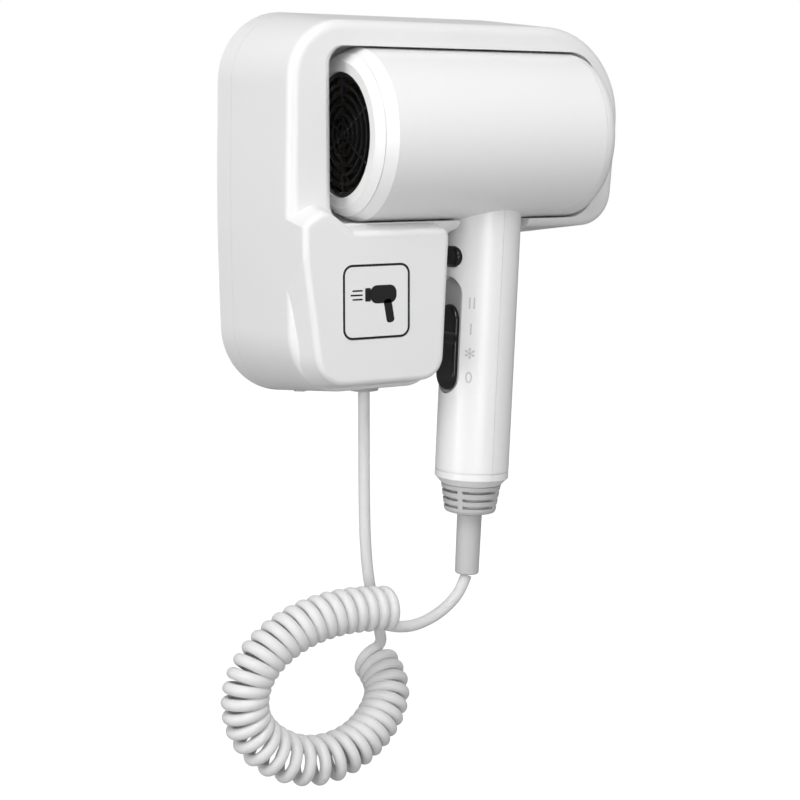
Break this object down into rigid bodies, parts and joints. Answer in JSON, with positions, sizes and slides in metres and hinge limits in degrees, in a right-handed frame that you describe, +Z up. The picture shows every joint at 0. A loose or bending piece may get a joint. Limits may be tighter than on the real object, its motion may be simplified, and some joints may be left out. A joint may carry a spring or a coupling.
{
  "type": "wall-mounted hair dryer",
  "caption": "Wall-mounted hair dryer: a barrel handset with slide switch and button rests in a wall base with a cradle, joined to it by a curly cord.",
  "frame": {"origin": "centre of the wall screw pattern, on the wall face of the base", "axes": "+X along the barrel from its outlet to its intake, +Y into the wall, +Z up"},
  "size_m": [0.2252, 0.092, 0.3703],
  "materials": {
    "base_white": "gloss",
    "handset_white": "gloss",
    "grille_black": "gloss",
    "mica": "satin",
    "resistance_wire": "satin",
    "cutout_metal": "satin",
    "duct_black": "matt",
    "motor_steel": "satin",
    "bearing_bronze": "satin",
    "winding_copper": "satin",
    "magnet_grey": "matt",
    "board_green": "satin",
    "screw_steel": "satin",
    "terminal_white": "satin",
    "grommet_rubber": "matt",
    "lead_white": "satin",
    "cord_grey": "satin",
    "relief_grey": "satin",
    "track_grey": "satin",
    "control_black": "gloss",
    "switch_black": "matt",
    "badge_white": "gloss"
  },
  "bodies": {
    "base": {"back_cover": "base_white", "front_housing": "base_white", "housing_screws": "screw_steel", "terminal_block": "terminal_white", "terminal_screws": "screw_steel", "supply_grommet": "grommet_rubber", "cord_bush": "grommet_rubber", "cord_clamp": "terminal_white", "clamp_screws": "screw_steel", "base_cord_end": "cord_grey", "parking_switch": "switch_black", "pocket_badge": "badge_white", "base_leads": "lead_white", "cord_base_tail": "cord_grey"},
    "handset": {"front_shell": "handset_white", "rear_shell": "handset_white", "shell_screw": "screw_steel", "nose_ring": "handset_white", "outlet_grille": "grille_black", "heat_shield": "mica", "heater_former": "mica", "heating_coils": "resistance_wire", "thermal_cutout": "cutout_metal", "thermal_fuse": "cutout_metal", "fan_duct": "duct_black", "motor_can": "motor_steel", "motor_end_cap": "duct_black", "motor_bearings": "bearing_bronze", "motor_magnets": "magnet_grey", "suppressor_board": "board_green", "intake_grille": "grille_black", "intake_filter": "duct_black", "switch_track": "track_grey", "switch_body": "switch_black", "button_switch": "switch_black", "button_spring": "screw_steel", "park_magnet": "magnet_grey", "strain_relief": "relief_grey", "cord_sleeve": "relief_grey", "handset_cord_end": "cord_grey", "handset_leads": "lead_white", "cord_coil": "cord_grey", "cord_handset_tail": "cord_grey"},
    "rotor": {"motor_shaft": "motor_steel", "motor_armature": "winding_copper", "fan": "duct_black"},
    "slider": {"switch_slider": "control_black"},
    "button": {"push_button": "control_black"}
  },
  "joints": [
    {"name": "handset_lift", "type": "slide", "parent": "base", "child": "handset", "axis": [0, -1, 0], "range_m": [0, 0.08]},
    {"name": "fan_spin", "type": "hinge", "parent": "handset", "child": "rotor", "pos_m": [0.09, -0.052, 0.03], "axis": [1, 0, 0], "continuous": true},
    {"name": "speed_slide", "type": "slide", "parent": "handset", "child": "slider", "axis": [0.0488, 0, 0.9988], "range_m": [0, 0.0125]},
    {"name": "button_press", "type": "slide", "parent": "handset", "child": "button", "axis": [0.9988, 0, -0.0488], "range_m": [0, 0.002], "stiffness_N_per_m": 400, "deforming": ["button_spring"]}
  ]
}
